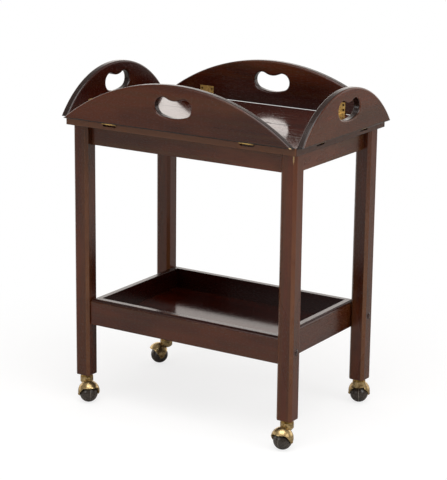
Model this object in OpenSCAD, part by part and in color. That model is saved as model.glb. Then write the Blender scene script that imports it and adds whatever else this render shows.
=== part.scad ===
// Tea trolley with a butler's tray top: four hinged flaps, a sunk lower tray and four ball castors.
// Millimetres, +Z up. The origin is on the floor under the middle of the trolley.
// X runs along the long sides, and the front is at -Y.

/* [Top] */
// Length of the top
top_l = 620; // [560:10:760]
// Width of the top
top_w = 410; // [380:10:520]
// Thickness of the top
top_t = 18; // [16:0.5:24]
// Height of the top's upper face above the floor
top_z = 698; // [620:2:780]
// Radius of the top's softened edges
top_edge_r = 3; // [1:0.5:5]

/* [Legs] */
// Side of a square leg
leg_side = 40; // [38:1:50]
// Chamfer along the leg's four long corners
leg_chamfer = 6.5; // [3:0.5:7]
// Overhang of the top past the legs at each end
overhang_end = 8.5; // [4:0.5:20]
// Overhang of the top past the legs at the front and back
overhang_side = 14.5; // [6:0.5:24]
// Small chamfer round the leg's foot
foot_chamfer = 2; // [0.5:0.5:4]

/* [Aprons] */
// Height of the aprons under the top
apron_h = 47; // [36:1:80]
// Thickness of the aprons
apron_t = 20; // [16:0.5:21]
// Distance of an apron's face behind the leg's outer face
apron_set_back = 18; // [10:0.5:18]
// Thickness of the tenons on the aprons
tenon_t = 9; // [6:0.5:10]
// Height left above and below a tenon
tenon_shoulder = 6; // [3:0.5:10]
// Gap between the mitred ends of two tenons that meet in a leg
tenon_gap = 0.6; // [0.3:0.1:1.5]

/* [Lower tray] */
// Height of the tray rails' upper edge above the floor
tray_z = 259; // [200:1:420]
// Height of the tray rails
rail_h = 63; // [48:1:90]
// Thickness of the tray rails
rail_t = 20; // [18:0.5:24]
// Distance of the tray's front and back behind the legs' outer faces
tray_set_back = 10; // [8:0.5:12]
// Size of the moulding on the rails' outer upper edge
mould_size = 7; // [4:0.5:8]
// Width of the small flats beside the moulding's round
mould_quirk = 1.2; // [0.5:0.1:2]
// Depth of the tray from the rails' upper edge to its floor
tray_depth = 50; // [30:1:52]
// Thickness of the tray floor
floor_t = 8; // [5:0.5:9]
// Thickness of the tongue round the floor's edge
tongue_t = 4; // [3:0.5:4.5]
// Gap between the floor's raised part and the rails
land_gap = 0.2; // [0.1:0.05:0.5]
// Depth of the rails' grooves that hold the floor
groove = 6; // [4:0.5:8]
// Gap between the floor's edge and the bottom of its groove
floor_gap = 0.5; // [0.2:0.1:1]

/* [Tray fixings] */
// Diameter of the screw that holds the tray to a leg
tray_screw_d = 5; // [4:0.5:6]
// Length of that screw under its head
tray_screw_l = 62; // [56:1:80]
// Diameter of its head
tray_head_d = 9; // [8:0.5:10]
// Height of its head
tray_head_h = 3.5; // [2.5:0.5:4]
// Depth of the hole that sinks its head in the leg
tray_sink = 8; // [7:0.5:10]
// Diameter of the cap over the screw
cap_d = 13.5; // [11:0.5:16]
// Height of the cap's dome
cap_h = 2.6; // [1.5:0.1:4]
// Length of the cap's plug in the hole
cap_plug = 3; // [2:0.5:3]

/* [Flaps] */
// Thickness of a flap
flap_t = 18; // [15:0.5:22]
// Rise of the long flaps' arch above their lower edge
long_rise = 107; // [96:1:130]
// Rise of the short flaps' arch above their lower edge
short_rise = 104; // [96:1:130]
// Distance from a flap's tip to the end of the top's side
flap_end_gap = 3; // [2.5:0.5:8]
// Radius of the softened edge along a flap's arch
flap_edge_r = 4; // [1:0.5:6]
// Chamfer along a flap's lower edges
flap_foot = 1; // [0.5:0.1:2]
// Height of an upright flap's lower edge above the top
rest_gap = 0.5; // [0.3:0.1:1]

/* [Hand holes] */
// Radius of the hand hole's two round ends
lobe_r = 20.5; // [16:0.5:21]
// Distance of each round end's middle from the flap's middle
lobe_x = 28; // [24:0.5:34]
// Height of the round ends' middles above the top
lobe_z = 58; // [56:0.5:62]
// Height of the hole's lowest point above the top
hole_low = 33; // [29:0.5:36]
// Height of the dip in the hole's upper edge above the top
hole_dip = 71.5; // [68:0.5:74]
// Radius of the softened edge round the hole, on both faces
hole_edge_r = 4; // [1:0.5:6]

/* [Hinges] */
// Length of a hinge along its edge
hinge_w = 38; // [32:1:44]
// Reach of a leaf from the joint
leaf_l = 29; // [26:0.5:30]
// Thickness of a leaf
leaf_t = 2; // [1.5:0.1:2.4]
// Distance of the long flaps' hinges from the flap's middle
hinge_x_long = 185; // [120:1:200]
// Distance of the short flaps' hinges from the flap's middle
hinge_x_short = 100; // [85:1:120]
// Radius of the hinge knuckles
knuckle_r = 4; // [3.4:0.1:4.4]
// Radius of the hinge pin
hinge_pin_r = 1.5; // [1.2:0.1:2]
// Depth of the pin's axis below the top's upper face
pin_depth = 2; // [1.6:0.1:2.2]
// Distance of the pin's axis outside the top's side
pin_out = 0.25; // [0:0.05:0.5]
// Gap between neighbouring knuckles
knuckle_gap = 0.3; // [0.2:0.05:0.6]
// Clearance round the knuckles in leaves and wood
knuckle_clear = 0.45; // [0.35:0.05:0.8]
// Running clearance of the flap's knuckle on the pin
hinge_fit = 0.06; // [0.03:0.01:0.1]
// Height of the knuckles' mortise in the side of the top
mortise_h = 10; // [8:0.5:12]
// Depth of that mortise into the top
mortise_in = 6; // [5:0.5:6.5]
// Radius of the mortise's lower corners
mortise_r = 4; // [2:0.5:5]

/* [Hinge screws] */
// Diameter of the screw's shank
screw_d = 3; // [2.5:0.1:3.4]
// Diameter of its countersunk head
screw_head_d = 6.2; // [5:0.1:7]
// Depth of the countersink
screw_head_h = 1.6; // [1:0.1:1.8]
// Whole length of the screw
screw_l = 13; // [9:0.5:14]
// Width of the slot in its head
slot_w = 0.9; // [0.6:0.1:1.2]
// Depth of the slot
slot_h = 0.9; // [0.5:0.1:1.2]
// Distance of the first screws from the joint
screw_near = 9.5; // [9:0.5:11]
// Distance of the second screws from the joint
screw_far = 22; // [19:0.5:24]
// Distance of the screws from the hinge's middle line
screw_side = 14; // [10:0.5:14.5]

/* [Corner blocks] */
// Length of a corner block along each apron
block_leg = 36; // [28:1:46]
// Height of a corner block
block_h = 30; // [20:1:34]
// Gap between a corner block and the leg
block_gap = 1; // [0.4:0.1:3]
// Diameter of the screw through the block
block_screw_d = 4; // [3:0.5:5]
// Length of that screw's thread in the top
block_screw_in = 12; // [8:0.5:14]
// Diameter of its pan head
block_head_d = 8; // [6.5:0.5:10]
// Height of its pan head
block_head_h = 2.6; // [1.5:0.1:4]
// Distance of the screw from the two aprons
block_screw_at = 12; // [9:0.5:14]

/* [Castors] */
// Height of a castor from the floor to the leg's foot
castor_h = 66; // [64:0.5:72]
// Radius of the ball wheel
ball_r = 21.7; // [20:0.1:22.5]
// Distance of the ball's middle behind the swivel axis
castor_trail = 18.3; // [17:0.1:20]
// Width of the disc between the half balls
disc_w = 1.2; // [0.8:0.1:2]
// Depth of the disc's edge below the ball's surface
disc_sink = 0.4; // [0.2:0.1:1]
// Outer radius of the hood
hood_r = 26; // [25.8:0.1:27]
// Wall of the hood
hood_wall = 1.8; // [1.4:0.1:1.8]
// Height of the hood's middle above the ball's middle
hood_lift = 6; // [5:0.1:6.5]
// Distance of the hood's middle behind the ball's middle
hood_back = 2; // [1:0.1:3]
// Height of the hood's rim above the ball's middle
rim_up = 18; // [14:0.5:20]
// Half width of a hood's ear where it leaves the rim
ear_half = 18; // [14:0.5:19]
// Radius of the ear's round end
ear_r = 4.5; // [4:0.1:4.6]
// Radius of the hood's neck
neck_r = 15.5; // [14.5:0.1:17]
// Height of the neck's straight part
neck_h = 12.5; // [10:0.5:13]
// Height of the neck's tapered part
neck_taper = 11.5; // [9:0.5:12]
// Radius at the lower end of the taper
neck_low_r = 7; // [6:0.5:9]
// Half width of the opening under the neck
arch_half = 13; // [11:0.5:14]
// Radius of that opening's upper corners
arch_r = 4; // [2:0.5:6]
// Height of that opening above the ball's middle
arch_top = 22.5; // [21:0.5:24]
// Radius of the axle
axle_r = 2.2; // [1.8:0.1:2.6]
// Running clearance of the ball on its axle
axle_fit = 0.06; // [0.03:0.01:0.1]
// Radius of the axle's riveted ends
rivet_r = 3.4; // [3:0.1:4]
// Height of the axle's riveted ends
rivet_h = 1.8; // [1:0.1:2.5]
// Depth of the flat under a riveted end
rivet_seat = 0.7; // [0.5:0.1:1]

/* [Castor sockets] */
// Height of the socket's collar under the leg
collar_h = 6.4; // [5:0.1:8]
// Lower radius of the collar
collar_r = 15; // [13:0.1:16]
// Upper radius of the collar
collar_top_r = 13.6; // [11:0.1:15]
// Radius of the stem up the leg
stem_r = 5; // [4:0.5:6]
// Length of the stem up the leg
stem_l = 34; // [24:1:46]
// Depth left over the stem in its bore
stem_end = 1; // [0.5:0.5:3]
// Radius of the swivel pin
swivel_r = 4; // [3:0.1:4.5]
// Running clearance round the swivel pin
swivel_fit = 0.07; // [0.03:0.01:0.1]
// Radius of the swivel pin's riveted head
swivel_head_r = 5.2; // [4.8:0.1:5.6]
// Height of the swivel pin's riveted head
swivel_head_h = 1.5; // [1:0.1:2]
// Gap over the riveted head, and round it
swivel_gap = 0.35; // [0.25:0.05:0.6]
// Depth of the neck's bore down to the riveted head
swivel_depth = 10.5; // [9:0.5:11]
// Swivel of the front right castor as it stands
turn_front_right = 270; // [0:5:355]
// Swivel of the front left castor as it stands
turn_front_left = 320; // [0:5:355]
// Swivel of the back right castor as it stands
turn_back_right = 115; // [0:5:355]
// Swivel of the back left castor as it stands
turn_back_left = 230; // [0:5:355]

/* [Hidden] */
$fn = 96;
bit = 1;
// Bevels that make up a flap's softened edge
edge_steps = 5;

wood = "#4f2d22";
wood_dark = "#3b2019";
wood_plain = "#8a6848";
brass = "#b39152";
brass_dark = "#8a6c3c";
steel = "#8f8f8c";
black = "#2b2825";
seam_grey = "#8f877d";
cap_brown = "#2c1b14";

// The legs' outer faces, their axes and their length
leg_x = top_l / 2 - overhang_end;
leg_y = top_w / 2 - overhang_side;
leg_cx = leg_x - leg_side / 2;
leg_cy = leg_y - leg_side / 2;
leg_top_z = top_z - top_t;

// The aprons' outer faces and lengths between the legs
apron_x = leg_x - apron_set_back;
apron_y = leg_y - apron_set_back;
apron_z = leg_top_z - apron_h;
apron_l_long = 2 * (leg_x - leg_side);
apron_l_short = 2 * (leg_y - leg_side);
tenon_out = apron_set_back + (apron_t - tenon_t) / 2;
tenon_in = tenon_out + tenon_t;

// The tray stands between the legs' inner faces
tray_x = leg_x - leg_side;
tray_y = leg_y - tray_set_back;
rail_z = tray_z - rail_h;
floor_z = tray_z - tray_depth - floor_t;
floor_x = tray_x - rail_t + groove - floor_gap;
floor_y = tray_y - rail_t + groove - floor_gap;
land_x = tray_x - rail_t - land_gap;
land_y = tray_y - rail_t - land_gap;
tray_screw_z = tray_z - rail_h / 2;
tray_screw_seat = leg_x - tray_sink;

// The flaps' half lengths, inner face and arch radii
long_half = top_l / 2 - flap_end_gap;
short_half = top_w / 2 - flap_end_gap;
flap_in = pin_out - pin_depth;
function arch_radius(half, rise) = (half * half + rise * rise) / (2 * rise);

// The hand hole is bounded by a round end on each side, a long lower arc and a dip. The arcs are tangent,
// but for a hair's overlap that makes their outlines cross. These are the middles and radii of the long
// arc and the dip, and the directions in which they meet the round ends.
hole_lap = 0.02;
ear_lap = 0.1;
function tangent_z(edge) = (lobe_x * lobe_x + lobe_z * lobe_z - edge * edge) / (2 * (lobe_z - edge));
low_z = tangent_z(hole_low + lobe_r);
low_r = low_z - hole_low;
dip_z = tangent_z(hole_dip - lobe_r);
dip_r = dip_z - hole_dip;
low_turn = atan2(low_z - lobe_z, lobe_x);
dip_turn = atan2(dip_z - lobe_z, lobe_x);

// Hinge parts
knuckle_mid = hinge_w / 2;
knuckle_cut_r = knuckle_r + knuckle_clear;

// Castor heights
hood_z = ball_r + hood_lift;
rim_z = ball_r + rim_up;
neck_top = castor_h - collar_h;
neck_low = neck_top - neck_h - neck_taper;
swivel_seat = neck_top - swivel_depth;
hood_x = castor_trail + hood_back;
rivet_at = sqrt(hood_r * hood_r - hood_lift * hood_lift - hood_back * hood_back) - rivet_seat;

// The four corners, as [name, side in X, side in Y, swivel]
corners = [
    ["front_right", 1, -1, turn_front_right],
    ["front_left", -1, -1, turn_front_left],
    ["back_right", 1, 1, turn_back_right],
    ["back_left", -1, 1, turn_back_left],
];

// The four sides, as [name, direction, half length, arch rise, hinge distance, reach]
sides = [
    ["front", 270, long_half, long_rise, hinge_x_long, top_w / 2],
    ["back", 90, long_half, long_rise, hinge_x_long, top_w / 2],
    ["left", 180, short_half, short_rise, hinge_x_short, top_l / 2],
    ["right", 0, short_half, short_rise, hinge_x_short, top_l / 2],
];

// A rectangle centred on the origin with round corners
module round_rect(x, y, r) {
    square([x - 2 * r, y], center = true);
    square([x, y - 2 * r], center = true);
    for (sx = [-1, 1], sy = [-1, 1])
        translate([sx * (x / 2 - r), sy * (y / 2 - r)])
            circle(r);
}

// A board centred on the origin in plan, standing on z = 0, with every edge rounded
module soft_board(x, y, z, r) {
    intersection() {
        linear_extrude(z)
            round_rect(x, y, r);
        translate([0, y / 2 + bit, z / 2])
            rotate([90, 0, 0])
                linear_extrude(y + 2 * bit)
                    round_rect(x, z, r);
        translate([-x / 2 - bit, 0, z / 2])
            rotate([90, 0, 90])
                linear_extrude(x + 2 * bit)
                    round_rect(y, z, r);
    }
}

// Puts a piece at the middle of one side of the top: local X points outwards and Y along the side
module on_side(s) {
    rotate([0, 0, s[1]])
        translate([s[5], 0, top_z])
            children();
}

// Puts a piece at the two hinges of a side
module at_hinges(s) {
    on_side(s)
        for (e = [-1, 1])
            translate([0, e * s[4], 0])
                children();
}

// A cylinder along the hinge line, between two places on it
module hinge_rod(r, from, to) {
    translate([pin_out, from, -pin_depth])
        rotate([-90, 0, 0])
            cylinder(h = to - from, r = r);
}

// The four screw places on the top's leaf, with the screws' heads upwards
module at_top_leaf_screws() {
    for (away = [screw_near, screw_far], e = [-1, 1])
        translate([-away, e * screw_side, 0])
            children();
}

// The four screw places on the flap's leaf, with the screws' heads towards the tray
module at_flap_leaf_screws() {
    for (away = [screw_near, screw_far], e = [-1, 1])
        translate([flap_in, e * screw_side, away])
            rotate([0, -90, 0])
                children();
}

// The room that a countersunk screw takes, with its head's face at z = 0
module screw_body() {
    translate([0, 0, -screw_head_h])
        cylinder(h = screw_head_h, d1 = screw_d, d2 = screw_head_d);
    translate([0, 0, -screw_l])
        cylinder(h = screw_l, d = screw_d);
}

// A slotted countersunk screw
module hinge_screw() {
    difference() {
        screw_body();
        translate([-screw_head_d, -slot_w / 2, -slot_h])
            cube([2 * screw_head_d, slot_w, slot_h + bit]);
    }
}

// Leaf sunk in the top, with the two outer knuckles
module top_leaf() {
    half = hinge_w / 2;
    inner = knuckle_mid / 2 + knuckle_gap;
    difference() {
        union() {
            translate([-leaf_l, -half, -leaf_t])
                cube([leaf_l + pin_out, hinge_w, leaf_t]);
            hinge_rod(knuckle_r, -half, -inner);
            hinge_rod(knuckle_r, inner, half);
        }
        hinge_rod(knuckle_cut_r, -inner, inner);
        hinge_rod(hinge_pin_r, -half - bit, half + bit);
        at_top_leaf_screws()
            screw_body();
    }
}

// Leaf sunk in the flap's inner face, with the middle knuckle
module flap_leaf() {
    half = hinge_w / 2;
    inner = knuckle_mid / 2;
    difference() {
        union() {
            translate([flap_in, -half, -pin_depth])
                cube([leaf_t, hinge_w, leaf_l + pin_depth]);
            hinge_rod(knuckle_r, -inner, inner);
        }
        hinge_rod(knuckle_cut_r, -half - bit, -inner);
        hinge_rod(knuckle_cut_r, inner, half + bit);
        hinge_rod(hinge_pin_r + hinge_fit, -half - bit, half + bit);
        at_flap_leaf_screws()
            screw_body();
    }
}

// Room in the side of the top for a hinge: the leaf's recess and the round-cornered mortise
module top_hinge_room() {
    half = hinge_w / 2;
    translate([-leaf_l, -half, -leaf_t])
        cube([leaf_l + bit, hinge_w, leaf_t + bit]);
    translate([-mortise_in, 0, 0])
        rotate([90, 0, 90])
            linear_extrude(mortise_in + bit) {
                translate([-half, mortise_r - mortise_h])
                    square([hinge_w, mortise_h - mortise_r + bit]);
                translate([mortise_r - half, -mortise_h])
                    square([hinge_w - 2 * mortise_r, mortise_h]);
                for (e = [-1, 1])
                    translate([e * (half - mortise_r), mortise_r - mortise_h])
                        circle(mortise_r);
            }
    at_top_leaf_screws()
        screw_body();
}

// Room in a flap for a hinge: the leaf's recess and a hollow round the knuckles
module flap_hinge_room() {
    half = hinge_w / 2;
    translate([flap_in - bit, -half, rest_gap - bit])
        cube([leaf_t + bit, hinge_w, leaf_l - rest_gap + bit]);
    hinge_rod(knuckle_cut_r, -half - knuckle_gap, half + knuckle_gap);
    at_flap_leaf_screws()
        screw_body();
}

module top_hinge_leaves() {
    color(brass)
        for (s = sides)
            at_hinges(s)
                top_leaf();
}

module flap_hinge_leaves(s) {
    color(brass)
        at_hinges(s)
            flap_leaf();
}

module hinge_pins() {
    color(brass_dark)
        for (s = sides)
            at_hinges(s)
                hinge_rod(hinge_pin_r, -hinge_w / 2, hinge_w / 2);
}

module top_hinge_screws() {
    color(brass_dark)
        for (s = sides)
            at_hinges(s)
                at_top_leaf_screws()
                    hinge_screw();
}

module flap_hinge_screws(s) {
    color(brass_dark)
        at_hinges(s)
            at_flap_leaf_screws()
                hinge_screw();
}

// Points along a quarter circle, a few narrow bevels apart
function quarter(x, y, r, start) = [
    for (k = [0:edge_steps])
        [x + r * cos(start + 90 * k / edge_steps), y + r * sin(start + 90 * k / edge_steps)]
];

// A thick disc standing on z = 0, with both edges of its rim softened
module soft_disc(r, t, edge) {
    rotate_extrude($fn = 180)
        polygon(concat([[0, 0]], quarter(r - edge, edge, edge, -90), quarter(r - edge, t - edge, edge, 0), [[0, t]]));
}

// Section of one stretch of the hand hole: x is the distance from the arc's middle and y goes
// through the flap. The hole reaches from the wall at r to the distance to, and flares at both faces.
module hole_section(r, to) {
    e = hole_edge_r;
    side = to > r ? -1 : 1;
    near = [for (p = quarter(e, e, e, 180)) [r + side * p[0], p[1]]];
    far = [for (k = [edge_steps:-1:0]) [near[k][0], flap_t - near[k][1]]];
    polygon(concat(near, [[r + side * e, -bit], [to, -bit], [to, flap_t + bit], [r + side * e, flap_t + bit]], far));
}

// A stretch of the hole along an arc round [x, z], from one direction to another
module hole_arc(x, z, r, to, from = 0, sweep = 360) {
    translate([x, z, 0])
        rotate([0, 0, from])
            rotate_extrude(angle = sweep)
                hole_section(r, to);
}

// Half of the hand hole's room, with its height above the top as y and the flap's thickness as z
module half_hole() {
    hole_arc(lobe_x, lobe_z, lobe_r, 0);
    hole_arc(0, low_z, low_r - hole_lap, low_r - 1.2 * lobe_r, -90, 90 - low_turn);
    hole_arc(0, dip_z, dip_r + hole_lap, dip_r + 1.2 * lobe_r, -90, 90 - dip_turn);
}

// The whole room of the hand hole
module hand_hole() {
    half_hole();
    mirror([1, 0, 0])
        half_hole();
}

// Section across a flap's lower part, with its two lower edges chamfered
module flap_foot_section(rise) {
    tall = rise + bit;
    f = flap_foot;
    polygon([[f, 0], [flap_t - f, 0], [flap_t, f], [flap_t, tall], [0, tall], [0, f]]);
}

// An arched flap, cut from a disc with a softened rim
module flap(s) {
    half = s[2];
    rise = s[3];
    r = arch_radius(half, rise);
    color(wood)
        on_side(s)
            difference() {
                intersection() {
                    translate([flap_in, 0, rest_gap + rise - r])
                        rotate([0, 90, 0])
                            soft_disc(r, flap_t, flap_edge_r);
                    translate([flap_in, half + bit, rest_gap])
                        rotate([90, 0, 0])
                            linear_extrude(2 * (half + bit))
                                flap_foot_section(rise);
                }
                translate([flap_in, 0, 0])
                    rotate([90, 0, 90])
                        hand_hole();
                for (e = [-1, 1])
                    translate([0, e * s[4], 0])
                        flap_hinge_room();
            }
}

module top_panel() {
    color(wood)
        difference() {
            translate([0, 0, top_z - top_t])
                soft_board(top_l, top_w, top_t, top_edge_r);
            for (s = sides)
                at_hinges(s)
                    top_hinge_room();
            top_screw_places()
                cylinder(h = block_screw_in, d = block_screw_d);
        }
}

// Plan of a leg with its four corners chamfered
module leg_plan() {
    h = leg_side / 2;
    c = leg_chamfer;
    polygon([[h - c, -h], [h, c - h], [h, h - c], [h - c, h], [c - h, h], [-h, h - c], [-h, c - h], [c - h, -h]]);
}

// Plan of the room for a tenon, from the leg's outer corner: the end is mitred beside its neighbour
module tenon_plan() {
    polygon([
        [leg_side, tenon_out],
        [tenon_out + tenon_gap, tenon_out],
        [tenon_in + tenon_gap, tenon_in],
        [leg_side, tenon_in],
    ]);
}

// Puts a piece drawn from a leg's outer corner, with X and Y pointing inwards, at a corner of the frame
module from_corner(c) {
    translate([c[1] * leg_x, c[2] * leg_y, 0])
        mirror([c[1] > 0 ? 1 : 0, 0, 0])
            mirror([0, c[2] > 0 ? 1 : 0, 0])
                children();
}

// The tenon of a long apron at a corner
module tenon_long(c) {
    from_corner(c)
        translate([0, 0, apron_z + tenon_shoulder])
            linear_extrude(apron_h - 2 * tenon_shoulder)
                tenon_plan();
}

// The tenon of a short apron at a corner
module tenon_short(c) {
    from_corner(c)
        translate([0, 0, apron_z + tenon_shoulder])
            linear_extrude(apron_h - 2 * tenon_shoulder)
                mirror([1, -1, 0])
                    tenon_plan();
}

// Puts a piece at the tray screw of a corner, with Z pointing out through the leg from its outer face
module at_tray_screw(c) {
    translate([c[1] * leg_x, c[2] * leg_cy, tray_screw_z])
        rotate([0, c[1] * 90, 0])
            children();
}

module leg(c) {
    color(wood_dark)
        difference() {
            translate([c[1] * leg_cx, c[2] * leg_cy, castor_h])
                intersection() {
                    linear_extrude(leg_top_z - castor_h)
                        leg_plan();
                    foot_cutter();
                    rotate([0, 0, 90])
                        foot_cutter();
                }
            tenon_long(c);
            tenon_short(c);
            translate([c[1] * leg_cx, c[2] * leg_cy, castor_h - bit])
                cylinder(h = stem_l + stem_end + bit, r = stem_r);
            at_tray_screw(c) {
                translate([0, 0, -tray_sink])
                    cylinder(h = tray_sink + bit, d = tray_head_d);
                translate([0, 0, -leg_side - bit])
                    cylinder(h = leg_side + bit, d = tray_screw_d);
            }
        }
}

// A block as tall as the leg with two of its lower edges chamfered
module foot_cutter() {
    h = leg_side / 2;
    tall = leg_top_z - castor_h;
    f = foot_chamfer;
    translate([0, h, 0])
        rotate([90, 0, 0])
            linear_extrude(leg_side)
                polygon([[f - h, 0], [h - f, 0], [h, f], [h, tall], [-h, tall], [-h, f]]);
}

module apron_long(e) {
    color(wood)
        union() {
            translate([-apron_l_long / 2, e > 0 ? apron_y - apron_t : -apron_y, apron_z])
                cube([apron_l_long, apron_t, apron_h]);
            for (c = corners)
                if (c[2] == e)
                    tenon_long(c);
        }
}

module apron_short(e) {
    color(wood)
        union() {
            translate([e > 0 ? apron_x - apron_t : -apron_x, -apron_l_short / 2, apron_z])
                cube([apron_t, apron_l_short, apron_h]);
            for (c = corners)
                if (c[1] == e)
                    tenon_short(c);
        }
}

// Blocks glued in the corners behind the aprons, under the top
module corner_blocks() {
    near = apron_set_back + apron_t;
    notch = leg_side + block_gap;
    far = near + block_leg;
    color(wood_plain)
        difference() {
            for (c = corners)
                from_corner(c)
                    translate([0, 0, leg_top_z - block_h])
                        linear_extrude(block_h)
                            polygon([[notch, near], [far, near], [near, far], [near, notch], [notch, notch]]);
            top_screw_places()
                translate([0, 0, -block_h - bit])
                    cylinder(h = block_h + 2 * bit, d = block_screw_d);
        }
}

// Where the screws through the corner blocks meet the underside of the top
module top_screw_places() {
    at = apron_set_back + apron_t + block_screw_at;
    for (c = corners)
        from_corner(c)
            translate([at, at, leg_top_z])
                children();
}

module top_screws() {
    color(steel)
        top_screw_places() {
            translate([0, 0, -block_h])
                cylinder(h = block_h + block_screw_in, d = block_screw_d);
            translate([0, 0, -block_h - block_head_h])
                cylinder(h = block_head_h, d = block_head_d);
        }
}

// Section of a tray rail: x is the distance outwards from the inner face, y the height
module rail_section() {
    difference() {
        square([rail_t, rail_h]);
        translate([rail_t - mould_size, rail_h - mould_size])
            square([mould_size + bit, mould_size + bit]);
        translate([-bit, rail_h - tray_depth - floor_t])
            square([groove + bit, tongue_t]);
    }
    translate([rail_t - mould_size, rail_h - mould_size])
        circle(mould_size - mould_quirk);
}

// A tray rail with mitred ends: its outer face is at x = reach and it is 2 * half long there
module rail(reach, half) {
    intersection() {
        translate([reach - rail_t, half, rail_z])
            rotate([90, 0, 0])
                linear_extrude(2 * half)
                    rail_section();
        translate([0, 0, rail_z - bit])
            linear_extrude(rail_h + 2 * bit)
                polygon([[reach, -half], [reach, half], [reach - rail_t, half - rail_t], [reach - rail_t, rail_t - half]]);
    }
}

// The tray screws' holes in the rails
module tray_screw_holes() {
    for (c = corners)
        at_tray_screw(c)
            translate([0, 0, -tray_sink - tray_screw_l])
                cylinder(h = tray_screw_l, d = tray_screw_d);
}

module tray_rail_long(e) {
    color(wood)
        difference() {
            rotate([0, 0, e * 90])
                rail(tray_y, tray_x);
            tray_screw_holes();
        }
}

module tray_rail_short(e) {
    color(wood)
        difference() {
            rotate([0, 0, e > 0 ? 0 : 180])
                rail(tray_x, tray_y);
            tray_screw_holes();
        }
}

// The tray floor: its tongue sits in the rails' grooves and its raised part fills the tray
module tray_floor() {
    color(wood)
        union() {
            translate([-floor_x, -floor_y, floor_z])
                cube([2 * floor_x, 2 * floor_y, tongue_t]);
            translate([-land_x, -land_y, floor_z])
                cube([2 * land_x, 2 * land_y, floor_t]);
        }
}

module tray_screws() {
    color(steel)
        for (c = corners)
            at_tray_screw(c) {
                translate([0, 0, -tray_sink - tray_screw_l])
                    cylinder(h = tray_screw_l, d = tray_screw_d);
                translate([0, 0, -tray_sink])
                    cylinder(h = tray_head_h, d = tray_head_d);
            }
}

// Domed caps with a plug over the tray screws
module tray_screw_caps() {
    dome_r = (cap_d * cap_d / 4 + cap_h * cap_h) / (2 * cap_h);
    color(cap_brown)
        for (c = corners)
            at_tray_screw(c) {
                intersection() {
                    translate([0, 0, cap_h - dome_r])
                        sphere(dome_r);
                    cylinder(h = cap_h, d = cap_d);
                }
                translate([0, 0, -cap_plug])
                    cylinder(h = cap_plug, d = tray_head_d);
            }
}

// Puts a castor piece under a leg: its origin is on the floor and X points to where the ball trails
module at_castor(c) {
    translate([c[1] * leg_cx, c[2] * leg_cy, 0])
        rotate([0, 0, c[3]])
            children();
}

module castor_socket(c) {
    color(brass_dark)
        at_castor(c) {
            translate([0, 0, neck_top])
                cylinder(h = collar_h, r1 = collar_r, r2 = collar_top_r);
            translate([0, 0, swivel_seat - swivel_gap])
                cylinder(h = neck_top - swivel_seat + swivel_gap, r = swivel_r);
            translate([0, 0, swivel_seat - swivel_gap - swivel_head_h])
                cylinder(h = swivel_head_h, r = swivel_head_r);
            translate([0, 0, castor_h])
                cylinder(h = stem_l, r = stem_r);
        }
}

// A rod along the axle's line, reaching y = half on both sides
module axle_rod(r, half) {
    translate([castor_trail, half, ball_r])
        rotate([90, 0, 0])
            cylinder(h = 2 * half, r = r);
}

// Outline of the hood seen along the axle, from the ball's middle: a dome with an ear. The ear's
// slanting sides end a hair inside its round end, so that their outlines cross.
module ear_outline() {
    corner_reach = sqrt(ear_half * ear_half + rim_up * rim_up);
    corner_turn = atan2(rim_up, ear_half) - acos(ear_r / corner_reach);
    touch = (ear_r - ear_lap) * [cos(corner_turn), sin(corner_turn)];
    circle(ear_r);
    polygon([[-ear_half, rim_up + bit], [-ear_half, rim_up], [-touch[0], touch[1]], touch,
        [ear_half, rim_up], [ear_half, rim_up + bit]]);
    translate([-2 * hood_r, rim_up])
        square([4 * hood_r, 2 * hood_r]);
}

// Outline of the opening under the neck, from the ball's middle
module arch_outline() {
    translate([-arch_half, 0])
        square([2 * arch_half, arch_top - arch_r]);
    translate([arch_r - arch_half, 0])
        square([2 * (arch_half - arch_r), arch_top]);
    for (e = [-1, 1])
        translate([e * (arch_half - arch_r), arch_top - arch_r])
            circle(arch_r);
}

module castor_hood(c) {
    color(brass)
        at_castor(c)
            difference() {
                union() {
                    intersection() {
                        translate([hood_x, 0, hood_z])
                            sphere(hood_r);
                        translate([castor_trail, 2 * hood_r, ball_r])
                            rotate([90, 0, 0])
                                linear_extrude(4 * hood_r)
                                    ear_outline();
                    }
                    translate([0, 0, neck_top - neck_h])
                        cylinder(h = neck_h, r = neck_r);
                    translate([0, 0, neck_low])
                        cylinder(h = neck_taper, r1 = neck_low_r, r2 = neck_r);
                }
                translate([hood_x, 0, hood_z])
                    sphere(hood_r - hood_wall);
                translate([-2 * neck_r, 0, ball_r])
                    rotate([90, 0, 90])
                        linear_extrude(3 * neck_r)
                            arch_outline();
                translate([0, 0, swivel_seat - bit])
                    cylinder(h = neck_top - swivel_seat + 2 * bit, r = swivel_r + swivel_fit);
                translate([0, 0, neck_low - bit])
                    cylinder(h = swivel_seat - neck_low + bit, r = swivel_head_r + swivel_gap);
                axle_rod(axle_r, hood_r + bit);
                for (e = [-1, 1])
                    translate([castor_trail, e * rivet_at, ball_r])
                        rotate([-e * 90, 0, 0])
                            cylinder(h = hood_r, r = rivet_r);
            }
}

module castor_axle(c) {
    color(brass_dark)
        at_castor(c) {
            axle_rod(axle_r, rivet_at);
            for (e = [-1, 1])
                translate([castor_trail, e * rivet_at, ball_r])
                    rotate([-e * 90, 0, 0])
                        cylinder(h = rivet_h, r1 = rivet_r, r2 = rivet_r / 2);
        }
}

// The two half balls
module castor_ball(c) {
    color(black)
        at_castor(c)
            difference() {
                translate([castor_trail, 0, ball_r])
                    sphere(ball_r);
                translate([castor_trail - 2 * ball_r, -disc_w / 2, -ball_r])
                    cube([4 * ball_r, disc_w, 4 * ball_r]);
                axle_rod(axle_r + axle_fit, ball_r + bit);
            }
}

// The thin disc between the half balls
module castor_disc(c) {
    color(seam_grey)
        at_castor(c)
            difference() {
                axle_rod(ball_r - disc_sink, disc_w / 2);
                axle_rod(axle_r + axle_fit, disc_w);
            }
}

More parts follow.
